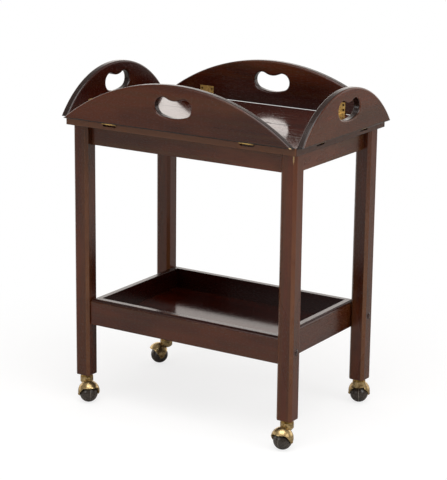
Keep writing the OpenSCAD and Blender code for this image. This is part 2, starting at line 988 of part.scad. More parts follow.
top_panel();
flap(sides[0]);  // flap_front
flap(sides[1]);  // flap_back
flap(sides[2]);  // flap_left
flap(sides[3]);  // flap_right
apron_long(-1);  // apron_front
apron_long(1);  // apron_back
apron_short(-1);  // apron_left
apron_short(1);  // apron_right
corner_blocks();
top_screws();
tray_rail_long(-1);  // tray_rail_front
tray_rail_long(1);  // tray_rail_back
tray_rail_short(-1);  // tray_rail_left
tray_rail_short(1);  // tray_rail_right
tray_floor();
tray_screws();
tray_screw_caps();
top_hinge_leaves();
hinge_pins();
top_hinge_screws();
for (s = sides) {
    flap_hinge_leaves(s);
    flap_hinge_screws(s);
}
for (c = corners) {
    leg(c);
    castor_socket(c);
    castor_hood(c);
    castor_axle(c);
    castor_ball(c);
    castor_disc(c);
}
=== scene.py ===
import math

import bpy
import bmesh
from mathutils import Matrix, Vector


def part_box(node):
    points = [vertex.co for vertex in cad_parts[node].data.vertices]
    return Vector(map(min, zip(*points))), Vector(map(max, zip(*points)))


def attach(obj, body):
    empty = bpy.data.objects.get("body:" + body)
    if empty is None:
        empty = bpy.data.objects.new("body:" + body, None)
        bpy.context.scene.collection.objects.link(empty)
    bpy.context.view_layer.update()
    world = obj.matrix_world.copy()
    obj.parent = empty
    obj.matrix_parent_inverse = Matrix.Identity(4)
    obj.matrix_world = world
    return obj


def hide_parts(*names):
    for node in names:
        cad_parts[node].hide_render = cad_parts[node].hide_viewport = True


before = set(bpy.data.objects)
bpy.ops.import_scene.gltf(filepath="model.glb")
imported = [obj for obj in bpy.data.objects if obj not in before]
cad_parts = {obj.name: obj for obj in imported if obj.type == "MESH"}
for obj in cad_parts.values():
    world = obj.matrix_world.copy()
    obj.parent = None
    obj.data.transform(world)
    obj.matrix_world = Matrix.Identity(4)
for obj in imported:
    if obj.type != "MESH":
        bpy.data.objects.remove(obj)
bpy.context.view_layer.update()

SIDES = ("front", "back", "left", "right")
CORNERS = ("front_left", "front_right", "back_left", "back_right")
OUTWARD = {"front": Vector((0, -1, 0)), "back": Vector((0, 1, 0)),
           "left": Vector((-1, 0, 0)), "right": Vector((1, 0, 0))}
UP = Vector((0, 0, 1))

# The top's upper corner: half its length, half its width and the height of its face
TOP_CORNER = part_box("top_panel")[1]


# The camera stands where the photograph was taken from, with its turns in degrees and its lens in millimetres

CAMERA_PLACE = (2.1969, -3.4662, 1.4902)
CAMERA_YAW, CAMERA_PITCH, CAMERA_ROLL = 32.395, -14.818, 0.6665
CAMERA_LENS, CAMERA_SENSOR = 134.42, 36
CAMERA_REACH = 60


def make_camera():
    camera = bpy.data.objects.new("camera", bpy.data.cameras.new("camera"))
    camera.data.sensor_width = CAMERA_SENSOR
    camera.data.lens = CAMERA_LENS
    camera.data.clip_end = CAMERA_REACH
    turn = Matrix.Rotation(math.radians(CAMERA_YAW), 4, "Z")
    tilt = Matrix.Rotation(math.radians(90 + CAMERA_PITCH), 4, "X")
    roll = Matrix.Rotation(math.radians(CAMERA_ROLL), 4, "Z")
    camera.matrix_world = Matrix.Translation(CAMERA_PLACE) @ turn @ tilt @ roll
    bpy.context.scene.collection.objects.link(camera)
    bpy.context.scene.camera = camera


# Node helpers, where an input is given as another node's output, which is linked, or as a plain value

# Sockets that share a name with others of their node go by number: two colours and their mix, and the largest
# number that can be drawn and the one drawn
MIX_FIRST, MIX_SECOND, MIX_RESULT = 6, 7, 2
DRAW_MOST, DRAW_RESULT = 3, 1


def link(tree, start, end):
    tree.links.new(start, end)


def feed(tree, node, inputs):
    for name, value in inputs.items():
        socket = node.inputs[name]
        if isinstance(value, bpy.types.NodeSocket):
            link(tree, value, socket)
        elif socket.type == "RGBA":
            socket.default_value = (*value, 1)
        else:
            socket.default_value = value


def add(tree, kind, inputs=None, **settings):
    node = tree.nodes.new(kind)
    for name, value in settings.items():
        setattr(node, name, value)
    feed(tree, node, inputs or {})
    return node


def maths(tree, operation, first, second=0.0, clamp=False):
    return add(tree, "ShaderNodeMath", {0: first, 1: second}, operation=operation, use_clamp=clamp).outputs[0]


def vector_maths(tree, operation, first, second=(0, 0, 0)):
    node = add(tree, "ShaderNodeVectorMath", {0: first, 1: second}, operation=operation)
    return node.outputs["Value" if operation in ("DOT_PRODUCT", "LENGTH") else "Vector"]


def split(tree, vector):
    return add(tree, "ShaderNodeSeparateXYZ", {0: vector}).outputs


# A value from 0 to 1 made to swing about zero, by up to half the amount each way
def swing(tree, value, amount):
    return maths(tree, "MULTIPLY", maths(tree, "SUBTRACT", value, 0.5), amount)


# 1 at no distance, falling to 0 at the width
def nearness(tree, distance, width, clamp=True):
    return maths(tree, "SUBTRACT", 1.0, maths(tree, "DIVIDE", distance, width), clamp=clamp)


# Goes smoothly from to_low to to_high while the value goes from low to high
def spread(tree, value, low, high, to_low=0.0, to_high=1.0):
    node = add(tree, "ShaderNodeMapRange",
               {"Value": value, "From Min": low, "From Max": high, "To Min": to_low, "To Max": to_high},
               interpolation_type="SMOOTHSTEP")
    return node.outputs[0]


def blend(tree, share, first, second):
    node = add(tree, "ShaderNodeMix", {0: share, MIX_FIRST: first, MIX_SECOND: second}, data_type="RGBA")
    return node.outputs[MIX_RESULT]


# A scale of three numbers stretches the noise more along one axis than another
def noise(tree, vector, scale, detail, roughness=0.5, distortion=0.0):
    if isinstance(scale, tuple):
        vector, scale = vector_maths(tree, "MULTIPLY", vector, scale), 1.0
    node = add(tree, "ShaderNodeTexNoise", {
        "Vector": vector, "Scale": scale, "Detail": detail, "Roughness": roughness, "Distortion": distortion})
    return node.outputs["Fac"]


def bumped(tree, height, strength, distance, normal=None):
    inputs = {"Height": height, "Strength": strength, "Distance": distance}
    if normal:
        inputs["Normal"] = normal
    return add(tree, "ShaderNodeBump", inputs).outputs[0]


# The surface's normal, rounded over its arrises
def softened_edge(tree, radius):
    return add(tree, "ShaderNodeBevel", {"Radius": radius}, samples=6).outputs[0]


# Shader groups: each function below builds one, and the first material that needs it has it built

FLOAT, COLOUR, VECTOR = "NodeSocketFloat", "NodeSocketColor", "NodeSocketVector"
GROUPS = {}


def new_group(name, *inputs):
    group = bpy.data.node_groups.new(name, "ShaderNodeTree")
    for socket, kind, *default in inputs:
        made = group.interface.new_socket(socket, in_out="INPUT", socket_type=kind)
        if default:
            made.default_value = default[0]
    return group, group.nodes.new("NodeGroupInput").outputs


def give_out(group, *results):
    for socket, kind, _ in results:
        group.interface.new_socket(socket, in_out="OUTPUT", socket_type=kind)
    end = group.nodes.new("NodeGroupOutput")
    for socket, _, value in results:
        link(group, value, end.inputs[socket])
    return group


def place_group(tree, maker, inputs):
    if maker not in GROUPS:
        GROUPS[maker] = maker()
    return add(tree, "ShaderNodeGroup", inputs, node_tree=GROUPS[maker])


# Mahogany: long drifts of tone, fine ribbon figure and short open pores, with x along the grain

PORE_TONE = (0.004, 0.001, 0.0006)
STRIPE_TINT = (0.62, 1.25, 1.25)


def mahogany_grain():
    group, given = new_group(
        "mahogany_grain", ("Vector", VECTOR), ("Soft Normal", VECTOR), ("Dark", COLOUR), ("Red", COLOUR),
        ("Figure", FLOAT, 0.5), ("Gloss", FLOAT, 0.25), ("Dull Patches", FLOAT, 0.16),
        ("Stripes", FLOAT, 0.35), ("Relief", FLOAT, 0.2))
    grain = given["Vector"]
    drift = noise(group, grain, (2.2, 9, 9), detail=2, distortion=0.6)
    figure = noise(group, grain, (5, 110, 110), detail=4, roughness=0.6, distortion=0.5)
    lines = noise(group, grain, (14, 420, 420), detail=3, roughness=0.55)
    pores = spread(group, noise(group, grain, (110, 1700, 1700), detail=1), 0.60, 0.70)
    clouds = noise(group, grain, (14, 34, 34), detail=3, roughness=0.55, distortion=0.8)
    tone = maths(group, "ADD", spread(group, drift, 0.32, 0.68), swing(group, figure, given["Figure"]))
    tone = maths(group, "ADD", tone, swing(group, clouds, 0.9))
    tone = maths(group, "ADD", tone, swing(group, lines, 0.8), clamp=True)
    wood = blend(group, tone, given["Dark"], given["Red"])
    stripes = spread(group, noise(group, grain, (1.1, 62, 62), detail=2), 0.42, 0.62)
    browner = vector_maths(group, "MULTIPLY", given["Red"], STRIPE_TINT)
    wood = blend(group, maths(group, "MULTIPLY", stripes, given["Stripes"]), wood, browner)
    wood = blend(group, maths(group, "MULTIPLY", pores, 0.55), wood, PORE_TONE)
    uneven = maths(group, "ADD", maths(group, "SUBTRACT", drift, 0.5), pores)
    rough = maths(group, "ADD", given["Gloss"], maths(group, "MULTIPLY", uneven, given["Dull Patches"]))
    rough = maths(group, "MAXIMUM", rough, 0.05)
    ridges, pits = maths(group, "MULTIPLY", lines, 0.7), maths(group, "MULTIPLY", pores, 0.8)
    relief = maths(group, "SUBTRACT", ridges, pits)
    normal = bumped(group, relief, given["Relief"], 0.0002, given["Soft Normal"])
    return give_out(group, ("Color", COLOUR, wood), ("Roughness", FLOAT, rough), ("Normal", VECTOR, normal))


# Tone of a board: the outer face has faded in the light, and its rim and inner face keep a deep tone that is
# also painted shade, dark where little light reaches inside the trolley

def faded_face_shaded_inside():
    group, given = new_group(
        "faded_face_shaded_inside", ("Vector", VECTOR), ("Outward", VECTOR), ("Depth", FLOAT), ("Soft", FLOAT),
        ("Deep Red", COLOUR), ("Deep Dark", COLOUR), ("Faded Red", COLOUR), ("Faded Dark", COLOUR))
    reach = vector_maths(group, "DOT_PRODUCT", given["Vector"], given["Outward"])
    outer = nearness(group, maths(group, "SUBTRACT", given["Depth"], reach), given["Soft"])
    red = blend(group, outer, given["Deep Red"], given["Faded Red"])
    dark = blend(group, outer, given["Deep Dark"], given["Faded Dark"])
    return give_out(group, ("Red", COLOUR, red), ("Dark", COLOUR, dark))


# Fine cracks in the lacquer that run with the grain

def lacquer_cracks():
    group, given = new_group(
        "lacquer_cracks", ("Vector", VECTOR), ("Spacing", FLOAT, 0.019), ("Width", FLOAT, 0.0017))
    wander = noise(group, given["Vector"], (2.2, 14, 14), detail=3)
    across = maths(group, "ADD", split(group, given["Vector"])[1], maths(group, "MULTIPLY", wander, 0.075))
    line = nearness(group, maths(group, "PINGPONG", across, given["Spacing"]), given["Width"])
    broken = spread(group, noise(group, given["Vector"], (5, 40, 40), detail=2), 0.44, 0.58)
    return give_out(group, ("Mask", FLOAT, maths(group, "MULTIPLY", line, broken)))


# A band along a board's border, uneven but never less than a share: wear on the top's edge, painted shade
# under the flaps' feet and a painted highlight along the tray's rails

def border_band():
    group, given = new_group("border_band", ("Vector", VECTOR), ("Half Size", VECTOR),
                             ("Width", FLOAT, 0.002), ("Least", FLOAT, 0.35))
    from_middle = vector_maths(group, "ABSOLUTE", given["Vector"])
    past = split(group, vector_maths(group, "SUBTRACT", from_middle, given["Half Size"]))
    nearest = maths(group, "MAXIMUM", past[0], past[1])
    near = maths(group, "ADD", 1.0, maths(group, "DIVIDE", nearest, given["Width"]), clamp=True)
    clouds = spread(group, noise(group, given["Vector"], 38, detail=3, roughness=0.6), 0.30, 0.66)
    uneven = maths(group, "MAXIMUM", clouds, given["Least"])
    return give_out(group, ("Mask", FLOAT, maths(group, "MULTIPLY", near, uneven)))


# Painted shade on the rim of a board and the wall of its hand hole, found from how little they face outwards
# or inwards

def shaded_rim():
    group, given = new_group("shaded_rim", ("Object Normal", VECTOR), ("Outward", VECTOR))
    facing = vector_maths(group, "DOT_PRODUCT", given["Object Normal"], given["Outward"])
    rim = spread(group, maths(group, "ABSOLUTE", facing), 0.35, 0.80, 1.0, 0.0)
    return give_out(group, ("Mask", FLOAT, rim))


# A ragged band at one height, such as the painted shade at the joint between a flap and the top

def joint_shade_band():
    group, given = new_group("joint_shade_band", ("Vector", VECTOR), ("Height", FLOAT), ("Width", FLOAT, 0.004))
    rise = maths(group, "SUBTRACT", split(group, given["Vector"])[2], given["Height"])
    away = maths(group, "ABSOLUTE", maths(group, "DIVIDE", rise, given["Width"]))
    ragged = swing(group, noise(group, given["Vector"], 60, detail=3, roughness=0.6), 0.9)
    near = maths(group, "SUBTRACT", 1.0, maths(group, "ADD", away, ragged), clamp=True)
    return give_out(group, ("Mask", FLOAT, spread(group, near, 0.0, 0.45)))


# Wear in patches along the arrises, from how far a softened normal leaves the surface's own

def worn_edges():
    group, given = new_group("worn_edges", ("Vector", VECTOR), ("Soft Normal", VECTOR), ("Normal", VECTOR),
                             ("Amount", FLOAT, 0.5))
    same = vector_maths(group, "DOT_PRODUCT", given["Soft Normal"], given["Normal"])
    edge = spread(group, maths(group, "SUBTRACT", 1.0, same), 0.02, 0.22)
    patches = noise(group, given["Vector"], 24, detail=4, roughness=0.6)
    limit = maths(group, "SUBTRACT", 1.0, given["Amount"])
    rubbed = spread(group, maths(group, "SUBTRACT", patches, limit), -0.18, 0.10)
    return give_out(group, ("Mask", FLOAT, maths(group, "MULTIPLY", edge, rubbed)))


# A leg's chamfers rubbed by hands and cloths, more so low down where feet reach

def rubbed_chamfer():
    group, given = new_group("rubbed_chamfer", ("Vector", VECTOR), ("Normal", VECTOR), ("Low", FLOAT, 0.30),
                             ("High", FLOAT, 0.66))
    facing = split(group, given["Normal"])
    slanting = maths(group, "ABSOLUTE", maths(group, "MULTIPLY", facing[0], facing[1]))
    drop = maths(group, "SUBTRACT", given["High"], split(group, given["Vector"])[2])
    low_down = maths(group, "DIVIDE", drop, maths(group, "SUBTRACT", given["High"], given["Low"]), clamp=True)
    share = maths(group, "ADD", 0.3, maths(group, "MULTIPLY", low_down, 0.7))
    patches = spread(group, noise(group, given["Vector"], 11, detail=4, roughness=0.6), 0.30, 0.62, 0.45, 1.0)
    uneven = maths(group, "MULTIPLY", share, patches)
    mask = maths(group, "MULTIPLY", spread(group, slanting, 0.28, 0.44), uneven)
    return give_out(group, ("Mask", FLOAT, mask))


# A small ragged mark at one place on the trolley, such as a chip of bare wood or the painted shade round a
# cap

def small_mark():
    group, given = new_group("small_mark", ("Vector", VECTOR), ("Centre", VECTOR),
                             ("Squeeze", VECTOR, (1, 1, 1)), ("Radius", FLOAT, 0.005))
    offset = vector_maths(group, "SUBTRACT", given["Vector"], given["Centre"])
    away = vector_maths(group, "LENGTH", vector_maths(group, "MULTIPLY", offset, given["Squeeze"]))
    ragged = swing(group, noise(group, given["Vector"], 420, detail=3, roughness=0.6), 1.2)
    near = maths(group, "ADD", nearness(group, away, given["Radius"], clamp=False), ragged)
    return give_out(group, ("Mask", FLOAT, spread(group, near, 0.0, 0.35)))


# Brass: rubbed bright on the high places, brown and mottled elsewhere

def brass_tarnish():
    group, given = new_group(
        "brass_tarnish", ("Vector", VECTOR), ("Soft Normal", VECTOR), ("Bright", COLOUR), ("Brown", COLOUR),
        ("Tarnish", FLOAT, 0.5), ("Rubbed", FLOAT, 0.0), ("Satin", FLOAT, 0.22))
    clouds = noise(group, given["Vector"], 95, detail=4, roughness=0.6, distortion=0.8)
    specks = noise(group, given["Vector"], 620, detail=3, roughness=0.6)
    mottled = maths(group, "ADD", clouds, swing(group, specks, 0.5))
    mottled = maths(group, "ADD", mottled, maths(group, "SUBTRACT", given["Tarnish"], 0.5))
    brown = maths(group, "SUBTRACT", spread(group, mottled, 0.38, 0.72), given["Rubbed"], clamp=True)
    rough = maths(group, "ADD", given["Satin"], maths(group, "MULTIPLY", brown, 0.24))
    return give_out(group, ("Color", COLOUR, blend(group, brown, given["Bright"], given["Brown"])),
                    ("Roughness", FLOAT, rough),
                    ("Normal", VECTOR, bumped(group, mottled, 0.35, 0.0001, given["Soft Normal"])))


# Moulded ball: fine orange peel with scuffs and floor dust

BALL_TONE, BALL_DUST = (0.047, 0.037, 0.029), (0.26, 0.22, 0.165)


def ball_scuffs():
    group, given = new_group("ball_scuffs", ("Vector", VECTOR))
    where = given["Vector"]
    scuffs = spread(group, noise(group, vector_maths(group, "MULTIPLY", where, (1, 1, 3)), 260, detail=5,
                                 roughness=0.7), 0.56, 0.74)
    dust = spread(group, noise(group, where, 90, detail=3, roughness=0.6), 0.50, 0.80)
    soiled = maths(group, "ADD", maths(group, "MULTIPLY", scuffs, 0.20), maths(group, "MULTIPLY", dust, 0.16))
    rough = maths(group, "ADD", 0.26, maths(group, "MULTIPLY", soiled, 1.1))
    peel = noise(group, where, 900, detail=2)
    return give_out(group, ("Color", COLOUR, blend(group, soiled, BALL_TONE, BALL_DUST)),
                    ("Roughness", FLOAT, rough), ("Normal", VECTOR, bumped(group, peel, 0.25, 0.0001)))


# Materials

def new_material(name):
    material = bpy.data.materials.new(name)
    material.use_nodes = True
    tree = material.node_tree
    return material, tree, tree.nodes["Principled BSDF"], add(tree, "ShaderNodeTexCoord").outputs["Object"]


def wear_along_edges(tree, where, radius, amount):
    wear = place_group(tree, worn_edges, {
        "Vector": where, "Soft Normal": softened_edge(tree, radius), "Amount": amount,
        "Normal": add(tree, "ShaderNodeNewGeometry").outputs["Normal"]})
    return wear.outputs["Mask"]


def brass(name, bright, brown, tarnish, edge=0.0004, metallic=1.0, satin=0.22):
    material, tree, shader, where = new_material(name)
    rubbed = wear_along_edges(tree, where, edge * 2.5, 0.75)
    metal = place_group(tree, brass_tarnish, {
        "Vector": where, "Soft Normal": softened_edge(tree, edge), "Bright": bright, "Brown": brown,
        "Tarnish": tarnish, "Satin": satin, "Rubbed": rubbed}).outputs
    feed(tree, shader, {"Base Color": metal["Color"], "Roughness": metal["Roughness"],
                        "Normal": metal["Normal"], "Metallic": metallic})
    return material


def moulded_ball(name):
    material, tree, shader, where = new_material(name)
    scuffs = place_group(tree, ball_scuffs, {"Vector": where}).outputs
    feed(tree, shader, {"Base Color": scuffs["Color"], "Roughness": scuffs["Roughness"],
                        "Normal": scuffs["Normal"]})
    return material


def plain_finish(name, light, dark, rough, scale, metallic=0.0):
    material, tree, shader, where = new_material(name)
    clouds = noise(tree, where, scale, detail=4, roughness=0.6)
    fine = noise(tree, where, scale * 6, detail=3, roughness=0.6)
    feed(tree, shader, {
        "Base Color": blend(tree, spread(tree, clouds, 0.35, 0.65), dark, light),
        "Roughness": spread(tree, clouds, 0.3, 0.7, rough - 0.06, rough + 0.08),
        "Normal": bumped(tree, fine, 0.2, 0.0001, softened_edge(tree, 0.0004)),
        "Metallic": metallic})
    return material


# Tones of the mahogany, each a redder and a darker colour: faded outer faces and deep inner ones, and the
# deep ones are also painted shade, darkest on the tray and its rails
FADED = ((0.088, 0.0180, 0.0042), (0.036, 0.0062, 0.0015))
LEGS = ((0.108, 0.0210, 0.0042), (0.040, 0.0066, 0.0014))
APRONS = ((0.136, 0.0310, 0.0084), (0.058, 0.0128, 0.0038))
DEEP = ((0.050, 0.0056, 0.0011), (0.020, 0.0018, 0.0004))
TRAY_SHADE_DEEP = ((0.054, 0.0050, 0.0010), (0.017, 0.0012, 0.0003))
RAIL_SHADE_DEEP = ((0.024, 0.0020, 0.0006), (0.009, 0.0008, 0.0002))
TOP_DEEP = ((0.062, 0.0085, 0.0020), (0.030, 0.0032, 0.0008))

# Tones that wear and cracks leave on it, and the painted shade tones of rims, joints, the top's edge and the
# rings round the caps; the border tone is also a painted highlight on the tray's floor
WORN_TONE, RUBBED_TONE, BORDER_TONE = (0.20, 0.085, 0.035), (0.165, 0.062, 0.020), (0.172, 0.060, 0.020)
RIM_SHADE_TONE, CRACK_TONE, JOINT_SHADE_TONE = (0.010, 0.0040, 0.0025), (0.006, 0.002, 0.001), (0.006, 0.003, 0.002)
BARE_WOOD, PAINTED_SHADE_TONE = (0.50, 0.33, 0.15), (0.008, 0.004, 0.003)

# How the grain's x axis is turned to run along a piece, and how far apart two pieces' cuts lie in the log
GRAIN_TURNS = {"x": (0, 0, 0), "y": (0, 0, -math.pi / 2), "z": (0, math.pi / 2, 0)}
GRAIN_STEP = (1.7, 0.37, 0.91)

# How much roughness a place gains when its finish is worn away
BARE_ROUGHNESS = 0.25


# A board of mahogany in the making: its grain, then what is laid over it, such as wear, cracks and marks

class Board:
    def __init__(self, name, along, seed, tone, gloss, relief=0.2, dull=0.16, stripes=0.35, edge=0.0012,
                 worn=0.35):
        self.material, self.tree, self.shader, self.where = new_material(name)
        turn = add(self.tree, "ShaderNodeMapping", {
            "Vector": self.where, "Rotation": GRAIN_TURNS[along],
            "Location": tuple(seed * step for step in GRAIN_STEP)})
        self.with_grain = turn.outputs[0]
        self.tone = tone
        self.grain = place_group(self.tree, mahogany_grain, {
            "Vector": self.with_grain, "Soft Normal": softened_edge(self.tree, edge), "Red": tone[0],
            "Dark": tone[1], "Gloss": gloss, "Relief": relief, "Dull Patches": dull, "Stripes": stripes})
        self.colour = self.grain.outputs["Color"]
        self.bare = 0.0
        self.tint(wear_along_edges(self.tree, self.where, edge * 1.5, worn), WORN_TONE, bared=1.0)

    # Fades what reaches outwards as far as the depth, and keeps the deep tone, partly painted shade, from the
    # soft width inside it
    def fade(self, faded, outward, depth, soft=0.003):
        shades = place_group(self.tree, faded_face_shaded_inside, {
            "Vector": self.where, "Outward": outward, "Depth": depth, "Soft": soft, "Deep Red": self.tone[0],
            "Deep Dark": self.tone[1], "Faded Red": faded[0], "Faded Dark": faded[1]}).outputs
        feed(self.tree, self.grain, {"Red": shades["Red"], "Dark": shades["Dark"]})

    # Colours the board where the mask says, and dulls its finish there
    def tint(self, mask, tone, share=1.0, bared=0.0):
        self.colour = blend(self.tree, maths(self.tree, "MULTIPLY", mask, share), self.colour, tone)
        if bared:
            self.bare = maths(self.tree, "MAXIMUM", self.bare, maths(self.tree, "MULTIPLY", mask, bared))

    def lay(self, maker, inputs, tone, share=1.0, bared=0.0):
        self.tint(place_group(self.tree, maker, inputs).outputs["Mask"], tone, share, bared)

    # The band lies outside the half size, taken from the trolley's middle, and fades over the width inside it
    def lay_band(self, half_size, width, least, tone, share, bared):
        self.lay(border_band, {"Vector": self.where, "Half Size": half_size, "Width": width, "Least": least},
                 tone, share, bared)

    def crack(self):
        self.lay(lacquer_cracks, {"Vector": self.with_grain}, CRACK_TONE, bared=2.0)

    def darken_rim(self, outward):
        normal = add(self.tree, "ShaderNodeTexCoord").outputs["Normal"]
        self.lay(shaded_rim, {"Object Normal": normal, "Outward": outward}, RIM_SHADE_TONE, share=0.88)

    def rub_chamfers(self):
        normal = add(self.tree, "ShaderNodeNewGeometry").outputs["Normal"]
        self.lay(rubbed_chamfer, {"Vector": self.where, "Normal": normal}, RUBBED_TONE, share=0.68)

    def shade_joint(self, height):
        self.lay(joint_shade_band, {"Vector": self.where, "Height": height}, JOINT_SHADE_TONE, share=0.85)

    def mark(self, centre, radius, tone, squeeze=(1, 1, 1)):
        self.lay(small_mark, {"Vector": self.where, "Centre": centre, "Squeeze": squeeze, "Radius": radius},
                 tone, bared=1.0)

    def finish(self, ior=1.5):
        dulled = maths(self.tree, "MULTIPLY", self.bare, BARE_ROUGHNESS)
        rough = maths(self.tree, "ADD", self.grain.outputs["Roughness"], dulled, clamp=True)
        feed(self.tree, self.shader, {"Base Color": self.colour, "Roughness": rough,
                                      "Normal": self.grain.outputs["Normal"], "IOR": ior})
        return self.material


# Dressing: a finish for each CAD node that keeps its own shape

def dress(node, material):
    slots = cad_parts[node].data.materials
    slots.clear()
    slots.append(material)


# How far a node reaches outwards on its side of the trolley
def outer_reach(node, side):
    return max(OUTWARD[side].dot(end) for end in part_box(node))


def grain_along(side):
    return "x" if side in ("front", "back") else "y"


# Painted shade darkens the top's edge and a strip of its face under the flaps' feet. Over that its edge is
# rubbed brown, wholly on the long sides, where the band starts inside the edge, and faintly on the ends,
# where it starts past it.
SHADE_INSET, SHADE_WIDTH = 0.0016, 0.0024
RUB_PAST_END, RUB_PAST_SIDE, RUB_WIDTH = 0.0007, -0.0006, 0.0010


def dress_top():
    board = Board("mahogany_top_panel", "x", 1, TOP_DEEP, gloss=0.09, relief=0.12, dull=0.05)
    shaded_corner = TOP_CORNER - Vector((SHADE_INSET, SHADE_INSET, 0))
    board.lay_band(shaded_corner, SHADE_WIDTH, least=0.8, tone=PAINTED_SHADE_TONE, share=0.8, bared=2.0)
    rubbed = TOP_CORNER + Vector((RUB_PAST_END, RUB_PAST_SIDE, 0))
    board.lay_band(rubbed, RUB_WIDTH, least=0.84, tone=BORDER_TONE, share=0.85, bared=0.85)
    board.crack()
    dress("top_panel", board.finish())


# How much of the faded tone climbs the inner face of each flap with height, as painted light that makes the
# inner face lighter towards its top, most on the back flap, and how far it takes to give way to the deep tone
INNER_PAINTED_LIGHT = {"front": 0.03, "back": 0.17, "left": 0.03, "right": 0.03}
FADE_DEPTH = 0.016

# The chip at the front flap's right foot
FLAP_CHIP, FLAP_CHIP_RADIUS, FLAP_CHIP_SQUEEZE = (0.3062, -0.2212, 0.7006), 0.0030, (0.42, 1, 1)


def dress_flap(side, seed):
    node = "flap_" + side
    lean = INNER_PAINTED_LIGHT[side]
    depth = outer_reach(node, side) + lean * TOP_CORNER.z
    board = Board("mahogany_" + node, grain_along(side), seed, DEEP, gloss=0.22, edge=0.0021)
    # Painted light: the faded tone leans upwards over the inner face, lighter towards its top
    board.fade(FADED, OUTWARD[side] + lean * UP, depth, FADE_DEPTH)
    # Painted shade: the rim and the hand hole's wall are painted near black
    board.darken_rim(OUTWARD[side])
    # Painted shade: a dark band along the flap's foot, where the joint's shadow falls
    board.shade_joint(TOP_CORNER.z)
    if side == "front":
        board.mark(FLAP_CHIP, FLAP_CHIP_RADIUS, BARE_WOOD, FLAP_CHIP_SQUEEZE)
    dress(node, board.finish())


def dress_apron(side, seed):
    board = Board("mahogany_apron_" + side, grain_along(side), seed, APRONS, gloss=0.27)
    dress("apron_" + side, board.finish())


def dress_rail(side, seed):
    node = "tray_rail_" + side
    board = Board("mahogany_" + node, grain_along(side), seed, RAIL_SHADE_DEEP, gloss=0.20)
    # Painted shade: the rail's inner faces keep the darkest tone, for the shade inside the tray
    board.fade(FADED, OUTWARD[side], outer_reach(node, side))
    dress(node, board.finish())


# A painted highlight: a paler line on the tray's floor along its rails
FLOOR_HIGHLIGHT_WIDTH = 0.0026


def dress_tray_floor():
    # Painted shade: the whole tray floor takes the dark tray tone, for the shade inside the trolley
    board = Board("mahogany_tray_floor", "x", 2, TRAY_SHADE_DEEP, gloss=0.115, relief=0.05, dull=0.03, stripes=0.15)
    inner_corner = (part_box("tray_rail_right")[0][0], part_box("tray_rail_back")[0][1], 0)
    board.lay_band(inner_corner, FLOOR_HIGHLIGHT_WIDTH, least=0.45, tone=BORDER_TONE, share=0.50, bared=0.50)
    dress("tray_floor", board.finish(ior=1.30))


# The chip near the front right leg's head, and the ring of painted shade round each screw cap
LEG_CHIP, LEG_CHIP_RADIUS, LEG_CHIP_SQUEEZE = (0.2955, -0.1905, 0.6725), 0.0022, (1, 1, 0.15)
CAP_SHADE_RADIUS = 0.0098


def dress_leg(corner, seed):
    node = "leg_" + corner
    low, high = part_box(node)
    caps_low, caps_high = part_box("tray_screw_caps")
    outer = high.x if "right" in corner else low.x
    board = Board("mahogany_" + node, "z", seed, LEGS, gloss=0.27, edge=0.0018, worn=0.55)
    board.rub_chamfers()
    if corner == "front_right":
        board.mark(LEG_CHIP, LEG_CHIP_RADIUS, BARE_WOOD, LEG_CHIP_SQUEEZE)
    # Painted shade: a dark ring on the leg round each screw cap, where the cap's shadow falls
    board.mark((outer, (low.y + high.y) / 2, (caps_low.z + caps_high.z) / 2), CAP_SHADE_RADIUS, PAINTED_SHADE_TONE)
    dress(node, board.finish())


def dress_woodwork():
    dress_top()
    dress_tray_floor()
    for number, side in enumerate(SIDES):
        dress_flap(side, 3 + number)
        dress_apron(side, 7 + number)
        dress_rail(side, 11 + number)
    for number, corner in enumerate(CORNERS):
        dress_leg(corner, 15 + number)
    dress("corner_blocks", plain_finish("sawn_block", light=(0.42, 0.29, 0.17), dark=(0.30, 0.19, 0.10),
                                        rough=0.7, scale=60))


def dress_hinges():
    leaves = brass("hinge_brass", bright=(0.78, 0.52, 0.17), brown=(0.42, 0.25, 0.075), tarnish=0.42,
                   edge=0.0003, metallic=0.7)
    dull_leaves = brass("leaf_brass", bright=(0.50, 0.33, 0.12), brown=(0.20, 0.115, 0.04), tarnish=0.50,
                        edge=0.0003, metallic=0.8)
    dress("top_hinge_leaves", dull_leaves)
    for side in SIDES:
        dress("flap_hinge_leaves_" + side, leaves)


def dress_castors(browned):
    polished = brass("hood_brass", bright=(0.61, 0.455, 0.225), brown=(0.19, 0.115, 0.048), tarnish=0.50,
                     satin=0.27)
    ball = moulded_ball("ball_black")
    seam = plain_finish("seam_pale", light=(0.42, 0.38, 0.33), dark=(0.22, 0.19, 0.16), rough=0.6, scale=700)
    finishes = {"socket": browned, "hood": polished, "axle": browned, "ball": ball, "disc": seam}
    for corner in CORNERS:
        for piece, finish in finishes.items():
            dress("castor_" + piece + "_" + corner, finish)


def dress_fittings():
    browned = brass("socket_brass", bright=(0.52, 0.335, 0.105), brown=(0.16, 0.082, 0.026), tarnish=0.54,
                    satin=0.28)
    steel = plain_finish("plain_steel", light=(0.55, 0.55, 0.54), dark=(0.34, 0.33, 0.32), rough=0.35,
                         scale=500, metallic=1.0)
    cap = plain_finish("cap_plastic", light=(0.045, 0.016, 0.010), dark=(0.020, 0.007, 0.004), rough=0.20,
                       scale=300)
    dress_hinges()
    dress_castors(browned)
    dress("hinge_pins", browned)
    dress("top_screws", steel)
    dress("tray_screws", steel)
    dress("tray_screw_caps", cap)


# Hinge screws: slotted countersunk heads on their shanks, each slot left at its own angle

SCREW_SIZES = {"Head Diameter": 0.0062, "Head Height": 0.0016, "Shank Diameter": 0.003, "Length": 0.013,
               "Slot Width": 0.0009, "Slot Depth": 0.0009}
HEAD_SIDES, SHANK_SIDES = 28, 16
GEOMETRY = "NodeSocketGeometry"


